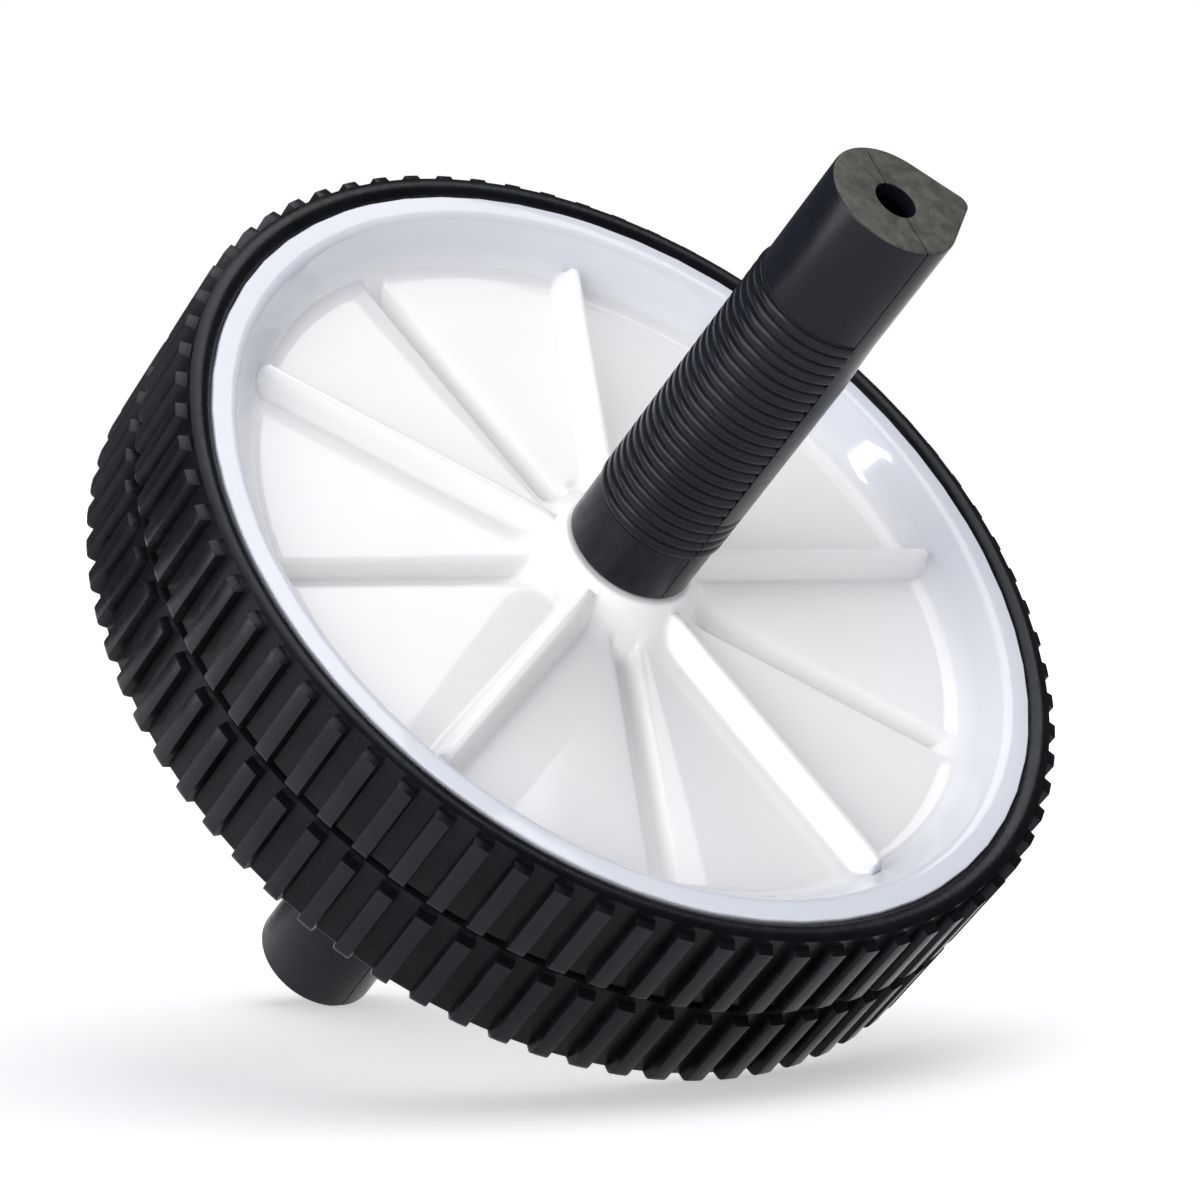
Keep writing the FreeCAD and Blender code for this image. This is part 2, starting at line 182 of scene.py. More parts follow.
def blend_colours(tree, factor, first, second):
    """Colour socket that goes from the first colour to the second with a factor."""
    node = tree.nodes.new("ShaderNodeMixRGB")
    tree.links.new(factor, node.inputs["Fac"])
    tree.links.new(first, node.inputs["Color1"])
    tree.links.new(second, node.inputs["Color2"])
    return node.outputs["Color"]

# %% [markdown]
# The wheels are injection-moulded in glossy white plastic. Its colour is nearly even, with faint cloudy drift
# from the moulding, and its gloss wavers slowly where the mould steel was polished by hand. The floor is warm
# white, and the wall and the rim are painted a darker, cool grey: painted shade, for the shade and the cool fill
# light that the wall and the rim get. So three ramps share one noise and are blended by radius. A bump of two
# hundredths of a millimetre keeps reflections from being perfectly straight.

# %% White moulded plastic
WALL_SHADE_BLEND = (72.0, 77.0)
RIM_SHADE_BLEND = (80.0, 81.0)


def make_white_plastic():
    material, tree, shader, place = new_material("white_moulded_plastic")
    drift = noise(tree, place, 0.05)
    thin_floor = ramp(tree, drift, (0.82, 0.815, 0.80), (0.85, 0.845, 0.835))
    # Painted shade: the wall and the rim get a darker, cooler grey than the floor.
    shaded_wall_tone = ramp(tree, drift, (0.62, 0.645, 0.69), (0.66, 0.68, 0.72))
    shaded_rim_tone = ramp(tree, drift, (0.66, 0.685, 0.73), (0.70, 0.72, 0.76))
    radius = axle_radius(tree, place)
    floor_to_shaded_wall = blend_colours(tree, spread(tree, radius, 0, 1, WALL_SHADE_BLEND), thin_floor, shaded_wall_tone)
    tint = blend_colours(tree, spread(tree, radius, 0, 1, RIM_SHADE_BLEND), floor_to_shaded_wall, shaded_rim_tone)
    tree.links.new(tint, shader.inputs["Base Color"])
    tree.links.new(spread(tree, noise(tree, place, 0.02), 0.04, 0.07), shader.inputs["Roughness"])
    waves = bump(tree, shader, noise(tree, place, 0.016, detail=1.0), 0.00002)
    bump(tree, shader, noise(tree, place, 0.0006), 0.000001, waves)
    return material


white_plastic = make_white_plastic()
print("made", white_plastic.name)

# %% [markdown]
# The tyres are black rubber. New rubber isn't quite black: it is a very dark, cool grey with a soft sheen, a fine
# pebbled skin from the mould, and paler dusty bloom in patches. The sheen follows the distance from the axle and is
# weakest on the band between the lugs: painted shade, for the shade in the recess between the lugs.

# %% Tyre rubber
LUG_BLEND = (90.1, 91.3)
BEAD_BLEND = (88.6, 89.6)
SHADED_BAND_SHEEN = 0.13
LUG_SHEEN = 0.27
BEAD_EXTRA = 0.12


def make_tyre_rubber():
    material, tree, shader, place = new_material("black_tyre_rubber")
    bloom = noise(tree, place, 0.011, detail=5.0, roughness=0.62)
    tint = ramp(tree, bloom, (0.0024, 0.0027, 0.0033), (0.0050, 0.0055, 0.0064))
    tree.links.new(tint, shader.inputs["Base Color"])
    tree.links.new(spread(tree, noise(tree, place, 0.004, detail=4.0), 0.22, 0.32), shader.inputs["Roughness"])
    radius = axle_radius(tree, place)
    sheen_with_band_shade = tree.nodes.new("ShaderNodeMath")
    sheen_with_band_shade.operation = "ADD"
    # Painted shade: the sheen is dimmed on the band between the lugs, where shade falls.
    tree.links.new(spread(tree, radius, SHADED_BAND_SHEEN, LUG_SHEEN, LUG_BLEND), sheen_with_band_shade.inputs[0])
    tree.links.new(spread(tree, radius, BEAD_EXTRA, 0, BEAD_BLEND), sheen_with_band_shade.inputs[1])
    tree.links.new(sheen_with_band_shade.outputs["Value"], shader.inputs["Specular IOR Level"])
    shader.inputs["Specular Tint"].default_value = (0.86, 0.91, 1.0, 1)
    skin = bump(tree, shader, noise(tree, place, 0.0022, detail=3.0), 0.00005)
    bump(tree, shader, noise(tree, place, 0.0004), 0.000012, skin)
    return material


tyre_rubber = make_tyre_rubber()
print("made", tyre_rubber.name)

# %% [markdown]
# The grips are charcoal plastic with a satin grain etched into the mould, so highlights spread softly along
# them. The grain is two noises, one a third of a millimetre across and one coarser. The end faces weren't polished
# in the mould: they are matte, mottled and a little olive, so the colour and the gloss change over the last
# fraction of a millimetre of each grip, measured along the axle.

# %% Charcoal grip plastic
END_BLEND = [axle_span("near_handle_front")[1] - depth for depth in (0.30, 0.10)]


def axle_distance(tree, place):
    """Distance along the axle from the middle of the roller, in millimetres."""
    along = tree.nodes.new("ShaderNodeSeparateXYZ")
    tree.links.new(axle_place(tree, place), along.inputs["Vector"])
    distance = tree.nodes.new("ShaderNodeMath")
    distance.operation = "ABSOLUTE"
    tree.links.new(along.outputs["X"], distance.inputs[0])
    return distance.outputs["Value"]


def make_charcoal_plastic():
    material, tree, shader, place = new_material("charcoal_grip_plastic")
    drift = noise(tree, place, 0.018, detail=3.0)
    on_end = spread(tree, axle_distance(tree, place), 0, 1, END_BLEND)
    satin = ramp(tree, drift, (0.0048, 0.0058, 0.0084), (0.0080, 0.0094, 0.0130))
    mottle = noise(tree, place, 0.0025, detail=6.0, roughness=0.65)
    matte = ramp(tree, mottle, (0.050, 0.054, 0.043), (0.100, 0.105, 0.086), (0.38, 0.64))
    tree.links.new(blend_colours(tree, on_end, satin, matte), shader.inputs["Base Color"])
    satin_gloss = spread(tree, noise(tree, place, 0.003, detail=3.0), 0.22, 0.29)
    matte_gloss = spread(tree, mottle, 0.50, 0.62)
    gloss = blend_colours(tree, on_end, satin_gloss, matte_gloss)
    tree.links.new(gloss, shader.inputs["Roughness"])
    shader.inputs["Specular IOR Level"].default_value = 0.18
    grain = bump(tree, shader, noise(tree, place, 0.00035, detail=3.0), 0.00002)
    bump(tree, shader, noise(tree, place, 0.004), 0.00003, grain)
    return material


charcoal_plastic = make_charcoal_plastic()
print("made", charcoal_plastic.name)

# %% [markdown]
# The hidden hardware is steel and natural nylon. The screws and washers are zinc-plated, a bright grey. The tube
# is made near-black, which is painted shade: the bore at the grip's end is in shade and so looks black. Drawn and
# rolled metal has fine streaks, so the noise is stretched along the axle by a Mapping node.

# %% Steel and nylon
STREAK_STRETCH = (12, 1, 1)


def make_steel(name, low, high):
    material, tree, shader, place = new_material(name)
    mapping = tree.nodes.new("ShaderNodeMapping")
    mapping.vector_type = "TEXTURE"
    mapping.inputs["Rotation"].default_value = axle_turn.to_euler()
    mapping.inputs["Scale"].default_value = STREAK_STRETCH
    tree.links.new(place, mapping.inputs["Vector"])
    streaks = noise(tree, mapping.outputs["Vector"], 0.0008, detail=3.0)
    tree.links.new(ramp(tree, streaks, low, high), shader.inputs["Base Color"])
    tree.links.new(spread(tree, streaks, 0.25, 0.40), shader.inputs["Roughness"])
    shader.inputs["Metallic"].default_value = 1
    bump(tree, shader, streaks, 0.000004)
    return material


def make_nylon():
    material, tree, shader, place = new_material("natural_nylon")
    cloud = noise(tree, place, 0.006, detail=3.0)
    tree.links.new(ramp(tree, cloud, (0.70, 0.69, 0.63), (0.76, 0.75, 0.70)), shader.inputs["Base Color"])
    tree.links.new(spread(tree, cloud, 0.35, 0.48), shader.inputs["Roughness"])
    bump(tree, shader, noise(tree, place, 0.001), 0.00001)
    return material


plated_steel = make_steel("zinc_plated_steel", (0.50, 0.51, 0.52), (0.64, 0.65, 0.66))
# Painted shade: the tube is made near-black so that the bore at the grip's end looks dark.
bore_shade_steel = make_steel("bore_shade_dark_steel", (0.020, 0.021, 0.023), (0.032, 0.033, 0.035))
nylon = make_nylon()
print("made", plated_steel.name, bore_shade_steel.name, nylon.name)

# %% [markdown]
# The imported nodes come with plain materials. Every piece is there twice, once at the near end and once at the far
# end, apart from the tube, so one table of finishes serves both ends. A node's mesh is left as it is: only its
# material changes.

# %% Put the finishes on the frame's own nodes
node_finishes = {
    "wheel": white_plastic,
    "tyre": tyre_rubber,
    "handle_front": charcoal_plastic,
    "handle_back": charcoal_plastic,
    "handle_screws": plated_steel,
    "bush": nylon,
    "washer": plated_steel,
}
finish_of = {end + "_" + piece: finish for end in ("near", "far") for piece, finish in node_finishes.items()}
finish_of["axle_tube"] = bore_shade_steel
for node, finish in finish_of.items():
    mesh = frame["nodes"][node].data
    mesh.materials.clear()
    mesh.materials.append(finish)
print("finishes on", len(finish_of), "nodes")

# %% [markdown]
# Each modelled piece goes through the same last steps: its doubles are merged, its faces are turned outwards, and
# the mesh is leaned with the axle's matrix. Then the piece rides on its body, names its finish, and takes the
# place of the plain node. Smooth shading with sharp edges above an angle keeps flats flat and bevels soft.

# %% Finish a modelled piece
WELD = 0.004
sharp_angle = math.radians(40)


def add_piece(bm, name, node, body, finish, turn=Matrix.Identity(4)):
    """Turns a bmesh in axle millimetres into a piece that stands for a node."""
    bmesh.ops.remove_doubles(bm, verts=bm.verts, dist=WELD)
    bmesh.ops.recalc_face_normals(bm, faces=bm.faces)
    bm.transform(from_axle @ turn)
    mesh = bpy.data.meshes.new(name)
    bm.to_mesh(mesh)
    bm.free()
    mesh.materials.append(finish)
    mesh.shade_smooth()
    mesh.set_sharp_from_angle(angle=sharp_angle)
    piece = bpy.data.objects.new(name, mesh)
    bpy.context.scene.collection.objects.link(piece)
    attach(piece, body)
    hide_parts(node)
    print(name, "has", len(mesh.polygons), "faces")
    return piece

# %% [markdown]
# A tyre is a rubber band with a rounded bead on its outer side and a row of bar-shaped lugs. One lug and the gap
# beside it make a sector, and the sector is copied round. The lugs could be separate bars pushed into the band, but
# then no edge between them could be rounded, so lug and band are made as one skin.

# %% Tyre sizes
tyre_inner, tyre_outer, seat_radius, lug_reach = axle_span("near_tyre")
lug_count = 72
lug_turn = math.radians(3.65)
lug_height = 2.2
lug_top_width = 3.2
lug_foot_width = 3.75
lug_setback = 1.7
lug_end_draft = 0.3
lug_edge = 0.13
band_rounding = 0.7
toe_rounding = 1.8
bead_radius = 3.32
shoulder_angle = math.radians(32.2)
heel_angle = math.radians(-54.9)
tread_radius = math.sqrt(lug_reach ** 2 - (lug_top_width / 2) ** 2)
base_radius = tread_radius - lug_height
lug_end = tyre_outer - lug_setback
print("tread radius", round(tread_radius, 2), "band radius", round(base_radius, 2))

# %% [markdown]
# The section of the band is drawn once, as a closed chain of edges. The bead is an arc, and spinning a single
# vertex about the bead's centre draws it. The inner edge of the tread is rounded here, before the band is spun,
# because bevelling one vertex of a section is simpler than bevelling a whole ring.

# %% Draw the band's section
def parts_of(result, kind, key="geom"):
    """The vertices, edges or faces in what an operator gives back."""
    return [item for item in result[key] if isinstance(item, kind)]


def tyre_section(bm):
    """Closed outline of the band: the bead as an arc, then the seat, the inner side and the tread."""
    bead_x = tyre_outer - bead_radius
    bead_height = base_radius - bead_radius * math.sin(shoulder_angle)
    shoulder = bm.verts.new((bead_x + bead_radius * math.cos(shoulder_angle), 0, base_radius))
    arc = bmesh.ops.spin(
        bm, geom=[shoulder], cent=(bead_x, 0, bead_height), axis=(0, 1, 0),
        angle=shoulder_angle - heel_angle, steps=8,
    )
    heel = parts_of(arc, bmesh.types.BMVert, "geom_last")[0]
    corners = [(tyre_inner, seat_radius), (tyre_inner, base_radius), (lug_end, base_radius)]
    chain = [heel] + [bm.verts.new((x, 0, radius)) for x, radius in corners] + [shoulder]
    for start, end in zip(chain, chain[1:]):
        bm.edges.new((start, end))
    bmesh.ops.bevel(
        bm, geom=[chain[2]], offset=band_rounding, offset_type="OFFSET", segments=5, profile=0.5,
        affect="VERTICES", material=-1,
    )

# %% [markdown]
# The lug is pulled out of the tread by an extrusion, narrowed a little towards its top, as a moulded bar has to be
# to leave its mould, and bevelled. It keeps the band's rounded inner edge when it is pulled out. A scale about that
# corner makes the rounding larger on the lug, because the tread rolls on it when the roller leans.

# %% Pull a lug out
SHARP_ON_LUG = math.radians(30)


def is_on_lug(face):
    """Whether a face of the sector lies under the lug."""
    middle = face.calc_center_median()
    return middle.x < lug_end and math.hypot(middle.y, middle.z) > base_radius - band_rounding


def pull_lug(bm, lug_faces):
    """Pulls the lug out of the tread, with its draft, and rounds its edges."""
    pulled = bmesh.ops.extrude_face_region(bm, geom=lug_faces)
    top = parts_of(pulled, bmesh.types.BMVert)
    bmesh.ops.delete(bm, geom=[face for face in lug_faces if face.is_valid], context="FACES")
    bmesh.ops.translate(bm, verts=top, vec=(0, 0, lug_height))
    bmesh.ops.scale(bm, verts=top, vec=(1, lug_top_width / lug_foot_width, 1))
    toe = [vert for vert in top if vert.co.x < tyre_inner + band_rounding + WELD]
    grow = toe_rounding / band_rounding
    about_corner = Matrix.Translation((-tyre_inner, 0, -tread_radius))
    bmesh.ops.scale(bm, verts=toe, vec=(grow, 1, grow), space=about_corner)
    end = [vert for vert in top if vert.co.x > lug_end - WELD]
    bmesh.ops.translate(bm, verts=end, vec=(-lug_end_draft, 0, 0))
    touched = {edge for vert in top for face in vert.link_faces for edge in face.edges}
    sharp = [edge for edge in touched if edge.calc_face_angle(0) > SHARP_ON_LUG]
    bmesh.ops.bevel(
        bm, geom=sharp, offset=lug_edge, offset_type="OFFSET", segments=2, profile=0.5,
        affect="EDGES", clamp_overlap=True, material=-1,
    )

# %% [markdown]
# The section is spun through the lug's width and then through the gap, which gives one sector. A spin that
# duplicates sets the other 71 sectors round the axle, and the weld joins them. An Array modifier would do the same,
# but it would leave a modifier on the piece.

# %% Spin a sector and repeat it
def tyre_band():
    """Bmesh of a whole tyre, near side outwards."""
    bm = bmesh.new()
    tyre_section(bm)
    lug_angle = 2 * math.atan(lug_foot_width / 2 / base_radius)
    sector_angle = 2 * math.pi / lug_count
    bmesh.ops.rotate(bm, verts=bm.verts, cent=CENTRE, matrix=Matrix.Rotation(-lug_angle / 2, 3, AXLE))
    wire = bm.verts[:] + bm.edges[:]
    lug_part = bmesh.ops.spin(bm, geom=wire, cent=CENTRE, axis=AXLE, angle=lug_angle, steps=2)
    lug_faces = [face for face in bm.faces if is_on_lug(face)]
    gap_angle = sector_angle - lug_angle
    bmesh.ops.spin(bm, geom=lug_part["geom_last"], cent=CENTRE, axis=AXLE, angle=gap_angle, steps=3)
    pull_lug(bm, lug_faces)
    sector = bm.verts[:] + bm.edges[:] + bm.faces[:]
    bmesh.ops.spin(
        bm, geom=sector, cent=CENTRE, axis=AXLE, angle=sector_angle * (lug_count - 1), steps=lug_count - 1,
        use_duplicate=True,
    )
    return bm

# %% [markdown]
# Both tyres come out of the same mould and are pushed on the same way round, so the far tyre is the near one moved
# along the axle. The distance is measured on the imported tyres.

# %% Both tyres
tyre_step = axle_span("far_tyre")[0] - tyre_inner
for node, shift in (("near_tyre", 0), ("far_tyre", tyre_step)):
    place = Matrix.Translation((shift, 0, 0)) @ Matrix.Rotation(lug_turn, 4, AXLE)
    add_piece(tyre_band(), node + "_band", node, "wheel", tyre_rubber, place)

# %% [markdown]
# A wheel is one white moulding: hub, floor, sloping dish wall and rim, with five ribs standing on the floor and
# five grooves sunk between them. It repeats every 72 degrees, and each repeat is its own mirror image, so a wedge
# of 36 degrees from the middle of a rib to the middle of a groove is enough. The turned section comes first: a
# chain of corners whose roundings are made by bevelling its vertices. Walls of even thickness cool evenly in the
# mould, so the back of the floor follows the front.

# %% Wheel sizes and turned section
_, rim_front, _, rim_radius = axle_span("near_wheel")
floor_place = 11.6
floor_end = 73.7
hub_radius = 13.4
hub_foot_radius = 17.4
hub_top = 18.1
web = 3.0
bush_radius = 8.07
bush_flange_radius = 11.07
bush_flange_place = 16.2
sleeve_radius = 14.6
flange_radius = 80.6
rim_back = 0.4
rim_inner_radius = 82.3
wall_back_radius = 75.2
rib_end_corners = [(floor_place, radius, 0) for radius in (69.6, 70.3, 71.0, 71.6)]
wall_corners = [(14.0, 75.6, 0), (16.0, 77.2, 0)]
wheel_outline = [
    (bush_flange_place, bush_flange_radius, 0), (hub_top, bush_flange_radius, 0), (hub_top, hub_radius, 0.4),
    (floor_place, hub_foot_radius, 3.6), *rib_end_corners, (floor_place, floor_end, 1.8), *wall_corners,
    (rim_front, flange_radius, 1.2), (rim_front, rim_radius, 0.35), (rim_back, rim_radius, 0),
    (rim_back, rim_inner_radius, 0), (rim_front - web, rim_inner_radius, 0),
    (floor_place - web, wall_back_radius, 0), (floor_place - web, sleeve_radius, 0),
    (0.0, sleeve_radius, 0), (0.0, bush_radius, 0), (bush_flange_place, bush_radius, 0),
]
print("the section has", len(wheel_outline), "corners")
print("the dish is", round(rim_front - floor_place, 2), "mm deep")

# %% [markdown]
# Corners are rounded while the section is still a flat chain of edges, the largest roundings first. A bevel of the
# finished wheel would have to follow every rib. Long edges are then cut into even lengths, so that there are
# vertices to push up into ribs and down into grooves.

# %% Draw a section with rounded corners
def rounded_loop(bm, outline, segments):
    """Closed chain of edges through (place, radius, rounding) corners, with the corners rounded off."""
    corners = [bm.verts.new((x, 0, radius)) for x, radius, _ in outline]
    for start, end in zip(corners, corners[1:] + corners[:1]):
        bm.edges.new((start, end))
    for rounding in sorted({size for *_, size in outline} - {0}, reverse=True):
        rounded = [vert for vert, (*_, size) in zip(corners, outline) if size == rounding]
        bmesh.ops.bevel(
            bm, geom=rounded, offset=rounding, offset_type="OFFSET", segments=segments, profile=0.5,
            affect="VERTICES", material=-1,
        )


def cut_long_edges(bm, longest):
    """Cuts edges that are longer than a length into even lengths."""
    for edge in bm.edges[:]:
        cuts = int(edge.calc_length() / longest)
        if cuts:
            bmesh.ops.subdivide_edges(bm, edges=[edge], cuts=cuts)

# %% [markdown]
# Raising the floor to a rib is a smooth maximum of two heights, and sinking it to a groove is a smooth minimum:
# where two heights come close, the blend rounds the corner like a fillet. Booleans and bevels could make the same
# ribs, but bevels break down where a rib, the hub and the wall all meet, and a blend of heights doesn't.

# %% Blend two heights
def smooth_max(a, b, width):
    """The larger of two heights, blended where they are within a width of each other."""
    near = max(width - abs(a - b), 0) / width
    return max(a, b) + near * near * width / 4


def smooth_min(a, b, width):
    """The smaller of two heights, blended in the same way."""
    return -smooth_max(-a, -b, width)


print("two heights of 5 blended over 2: maximum", smooth_max(5, 5, 2), "and minimum", smooth_min(5, 5, 2))

# %% [markdown]
# A rib is a narrow crest with sloping flanks, so that it slides out of the mould, and its outer end rounds down to
# the floor. A groove is a channel with steep sides and a round bottom, and its ends ramp up to the hub and to the
# wall. Both are heights over the floor, given the distance across from the middle line and the radius.

# %% Heights of ribs and grooves
rib_top = 16.9
rib_end = 75.4
rib_half_tip = 0.75
rib_slope = 2.95
rib_start = 15.4
groove_depth = 4.0
groove_half_width = 2.7
groove_slope = 5.7
groove_edge = 3.15
groove_start = 17.6


def rib_height(across, radius):
    """Top of a rib: a narrow crest with drafted flanks, rounded down at its outer end and faded at the hub."""
    flank = rib_top - (across - rib_half_tip) * rib_slope
    end = rib_top - max(radius - rib_end + 0.9, 0) ** 2 * 5 - max(rib_start - radius, 0) * 2
    return smooth_min(smooth_min(rib_top, flank, 0.8), end, 0.6)


def groove_height(across, radius):
    """Bottom of a groove: a round channel with steep sides, sloping up to the hub and to the wall at its ends."""
    side = floor_place - (groove_half_width - across) * groove_slope
    side = smooth_min(side, floor_place - (groove_edge - across), 0.8)
    channel = smooth_max(floor_place - groove_depth, side, 2.6)
    channel = smooth_max(channel, floor_place - (radius - groove_start) * 1.8, 1.0)
    return smooth_max(channel, floor_place + (radius - floor_end) * 1.26, 1.0)


print("ribs stand", round(rib_top - floor_place, 2), "mm high")
print("grooves are", 2 * groove_half_width, "mm wide")

# %% [markdown]
# Ribs and grooves keep their width from hub to wall, so the wedge's columns of vertices shouldn't fan out. Each
# column keeps a fixed distance from the rib's middle line, or from the groove's, and only the few in between fan
# out. The lists put more columns where the surface bends.

# %% Columns of the wedge
RIB_COLUMNS = (0, 0.3, 0.55, 0.75, 0.95, 1.25, 1.6, 1.95, 2.3, 2.65, 3.0, 3.4, 3.8, 4.3)
GROOVE_COLUMNS = (0, 0.7, 1.2, 1.5, 1.75, 1.95, 2.1, 2.25, 2.38, 2.5, 2.62, 2.74, 2.88, 3.05, 3.3, 3.7)
FAN_COLUMNS = 4
column_count = len(RIB_COLUMNS) + FAN_COLUMNS + len(GROOVE_COLUMNS)
narrowing_radius = 16.5
wedge_angle = math.pi / 5


def wedge_heading(column, radius):
    """Angle of a column of the wedge at a radius."""
    keep = min(radius / narrowing_radius, 1) / radius
    rib_side = [math.asin(distance * keep) for distance in RIB_COLUMNS]
    groove_side = [wedge_angle - math.asin(distance * keep) for distance in reversed(GROOVE_COLUMNS)]
    gap = groove_side[0] - rib_side[-1]
    fan = [rib_side[-1] + gap * number / (FAN_COLUMNS + 1) for number in range(1, FAN_COLUMNS + 1)]
    return (rib_side + fan + groove_side)[column]


print("the wedge has", column_count, "columns")

# %% [markdown]
# The section is spun through 36 degrees, one step for each column, and every vertex is then moved to its column's
# heading and to the height of rib or groove, as a sculptor would push it. The back of the floor is pushed back
# under the grooves, so that the plastic is never cut through.

# %% Shape one wedge
ribs_from = 13.6
grooves_from = 16
front_to = 79
back_from = 14.7
back_to = 75.5


def shaped(point, column):
    """Place on the wheel of a point of the spun wedge."""
    radius = math.hypot(point.y, point.z)
    heading = wedge_heading(column, radius)
    x = point.x
    channel = groove_height(radius * math.sin(wedge_angle - heading), radius)
    if x > floor_place - web / 2 and radius < front_to:
        if radius > grooves_from:
            x = smooth_min(x, channel, 0.5)
        if radius > ribs_from:
            x = smooth_max(x, rib_height(radius * math.sin(heading), radius), 2.2)
    elif back_from < radius < back_to and x > floor_place - web - WELD:
        x = min(x, channel - web / 2)
    return Vector((x, -radius * math.sin(heading), radius * math.cos(heading)))


print("middle of a rib at 45 mm:", [round(c, 2) for c in shaped(Vector((floor_place, 0, 45)), 0)])

# %% [markdown]
# A mirror doubles the wedge, and a spin makes five of them. A few rounds of smoothing soften the foot of the hub,
# where ribs and grooves crowd together. Only the vertices there are smoothed, because smoothing the whole wheel
# would blunt its edges.

# %% Repeat the wedge
longest_edge = 3.5
softened_from = 14.8
softened_to = 23


def wheel_moulding():
    """Bmesh of a whole wheel, near side outwards."""
    bm = bmesh.new()
    rounded_loop(bm, wheel_outline, 6)
    cut_long_edges(bm, longest_edge)
    wire = bm.verts[:] + bm.edges[:]
    bmesh.ops.spin(bm, geom=wire, cent=CENTRE, axis=AXLE, angle=wedge_angle, steps=column_count - 1)
    step = wedge_angle / (column_count - 1)
    for vert in bm.verts:
        vert.co = shaped(vert.co, round(math.atan2(-vert.co.y, vert.co.z) / step))
    bmesh.ops.mirror(bm, geom=bm.verts[:] + bm.edges[:] + bm.faces[:], axis="Y", merge_dist=WELD)
    repeat = bm.verts[:] + bm.edges[:] + bm.faces[:]
    bmesh.ops.spin(
        bm, geom=repeat, cent=CENTRE, axis=AXLE, angle=wedge_angle * 8, steps=4, use_duplicate=True,
    )
    bmesh.ops.remove_doubles(bm, verts=bm.verts, dist=WELD)
    around_hub = [vert for vert in bm.verts if softened_from < math.hypot(vert.co.y, vert.co.z) < softened_to]
    for _ in range(3):
        bmesh.ops.smooth_vert(bm, verts=around_hub, factor=0.5, use_axis_x=True, use_axis_y=True, use_axis_z=True)
    return bm

# %% [markdown]
# Both wheels come out of one mould too, but the far one is turned end for end, so that both dishes open outwards.
# Before that, the first rib is turned to where the photograph shows it.

# %% Both wheels
end_for_end = Matrix.Rotation(math.pi, 4, "Y")
rib_turn = Matrix.Rotation(math.radians(52.5), 4, AXLE)
for node, turn in (("near_wheel", rib_turn), ("far_wheel", end_for_end @ rib_turn)):
    add_piece(wheel_moulding(), node + "_moulding", node, "wheel", white_plastic, turn)

# %% [markdown]
# A grip is two half shells that meet in a plane through the axle. The front half is ringed all along, with a
# plain collar at each end. The back half has only the first few rings and then swells into a rounded ridge that
# fits the palm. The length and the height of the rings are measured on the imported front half, and the rest are
# the sizes of collar, rings, ridge and hole.

# %% Grip sizes
grip_base, grip_end, _, ring_crest = axle_span("near_handle_front")
base_collar_radius = 12.6
base_collar_length = 11.8
end_collar_radius = 12.5
ring_count = 24
ring_pitch = 2.42
ring_groove_depth = 0.7
ring_groove_width = 0.9
ring_rounding = 0.42
groove_rounding = 0.12
back_ring_count = 4
ridge_full_length = 35.0
ridge_taper_length = 11.0
ridge_corner = 2.0
grip_edge = 0.6
hole_radius = 4.0
hole_edge = 0.3
hole_depth = 3.0
axle_seat_radius = 6.02
seam_gap = 0.26
rings_start = grip_base + base_collar_length
groove_radius = ring_crest - ring_groove_depth
print("rings run from", round(rings_start, 2), "to", round(rings_start + ring_count * ring_pitch, 2))

# %% [markdown]
# The outline of a half runs over the collar and the rings, down the end face, into the hole and back along the seat
# of the tube. A ring has two corners and a groove has one. Rings could be added one by one as solids, but in an
# outline their roundings are plain numbers.

# %% Outline of a grip
def ring_outline(count):
    """Collar and rings in outline, as (place, radius, rounding)."""
    outline = [(grip_base, base_collar_radius, grip_edge), (rings_start, base_collar_radius, 0)]
    for number in range(count):
        start = rings_start + number * ring_pitch
        outline += [
            (start, groove_radius, groove_rounding),
            (start + ring_groove_width / 2, ring_crest, ring_rounding),
            (start + ring_pitch - ring_groove_width / 2, ring_crest, ring_rounding),
        ]
    return outline + [(rings_start + count * ring_pitch, groove_radius, groove_rounding)]


def end_outline():
    """End collar's edge, end face, hole and the seat of the axle tube, in outline."""
    return [
        (grip_end, end_collar_radius, grip_edge),
        (grip_end, hole_radius, hole_edge),
        (grip_end - hole_depth, hole_radius, 0),
        (grip_end - hole_depth, axle_seat_radius, 0),
        (grip_base, axle_seat_radius, 0),
    ]


print("the front half's outline has", len(ring_outline(ring_count) + end_outline()) + 1, "corners")

# %% [markdown]
# Both halves start as such an outline, spun half a turn and closed at its two ends. Real half shells never meet
# quite flush, so the edges at the seam are drawn back a little, and a dark line shows between the halves.

# %% Spin one half of a grip
def half_shell(outline, turn, steps):
    """Bmesh of a half shell: the outline with its corners rounded, spun half a turn and closed at the seam."""
    bm = bmesh.new()
    rounded_loop(bm, outline, 3)
    wire = bm.verts[:] + bm.edges[:]
    first = bm.edges[:]
    spun = bmesh.ops.spin(bm, geom=wire, cent=CENTRE, axis=AXLE, angle=turn, steps=steps)
    last = parts_of(spun, bmesh.types.BMEdge, "geom_last")
    bmesh.ops.contextual_create(bm, geom=first)
    bmesh.ops.contextual_create(bm, geom=last)
    seam = [vert for vert in bm.verts if abs(vert.co.y) < WELD]
    bmesh.ops.translate(bm, verts=seam, vec=(0, -math.copysign(seam_gap / 2, turn), 0))
    return bm


def front_half():
    """Front half of the near grip."""
    plain_place = rings_start + ring_count * ring_pitch + ring_groove_width / 2
    plain_start = (plain_place, end_collar_radius, ring_rounding)
    return half_shell(ring_outline(ring_count) + [plain_start] + end_outline(), math.pi, 64)

# %% [markdown]
# In section the ridge is the circle of the grip with a square corner added, and the corner is rounded off. So the
# back half is spun round like the front, and the vertices within an eighth of a turn of the ridge are then pushed
# out to that section. Pushing them keeps the mesh an even grid, which a union with a separate ridge wouldn't.

